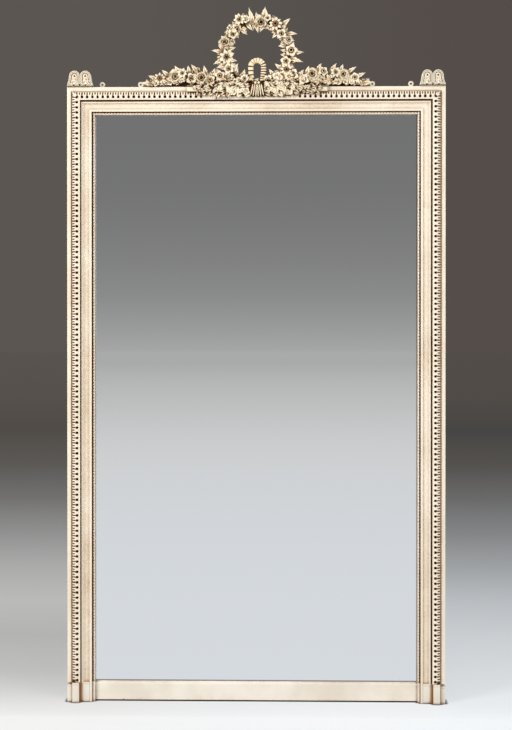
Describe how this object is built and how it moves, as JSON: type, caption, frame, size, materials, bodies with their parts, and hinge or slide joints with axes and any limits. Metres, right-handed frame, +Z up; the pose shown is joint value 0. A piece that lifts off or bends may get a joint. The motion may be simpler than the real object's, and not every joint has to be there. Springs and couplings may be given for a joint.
{
  "type": "overmantel mirror",
  "caption": "Tall rectangular overmantel mirror: painted carved wood frame with leaf and bead mouldings, plinth blocks, corner acroteria and a crest of a flower wreath, ribbon and garlands.",
  "frame": {"origin": "on the floor line, under the middle of the width and of the depth", "axes": "+X to the right as seen from the front, +Y from the carved front to the back, +Z up"},
  "size_m": [1.12, 0.078, 2.0578],
  "materials": {
    "cream_paint": "carved wood with aged cream paint, brown glaze in the hollows and fine cracks",
    "pine": "bare sawn pine, darkened with age",
    "oak": "bare riven oak",
    "iron": "forged, blackened, slightly rusty",
    "painted_iron": "iron under worn cream paint",
    "mirror_plate": "silvered plate, slightly aged"
  },
  "bodies": {
    "root": {"stile_left": "cream_paint", "stile_right": "cream_paint", "top_rail": "cream_paint", "bottom_rail": "cream_paint", "outer_band_left": "cream_paint", "outer_band_right": "cream_paint", "outer_band_top": "cream_paint", "leaf_moulding_left": "cream_paint", "leaf_moulding_right": "cream_paint", "leaf_moulding_top": "cream_paint", "frieze_left": "cream_paint", "frieze_right": "cream_paint", "frieze_top": "cream_paint", "bead_strip_left": "cream_paint", "bead_strip_right": "cream_paint", "bead_strip_top": "cream_paint", "plinth_left": "cream_paint", "plinth_right": "cream_paint", "acroterion_left": "cream_paint", "acroterion_right": "cream_paint", "crest_base": "cream_paint", "wreath": "cream_paint", "garland_left": "cream_paint", "garland_right": "cream_paint", "ribbon_loop": "cream_paint", "setting_blocks": "pine", "glazing_blocks": "pine", "backboard_1": "pine", "backboard_2": "pine", "backboard_3": "pine", "backboard_4": "pine", "backboard_5": "pine", "backboard_6": "pine", "backboard_7": "pine", "backboard_8": "pine", "joint_pegs": "oak", "crest_dowels": "oak", "backboard_nails": "iron", "strap_left": "iron", "strap_right": "iron", "strap_screws": "iron", "eye_screws": "iron", "eye_outer_left": "painted_iron", "eye_outer_right": "painted_iron", "eye_inner_left": "painted_iron", "eye_inner_right": "painted_iron", "mirror_plate": "mirror_plate"}
  },
  "joints": []
}
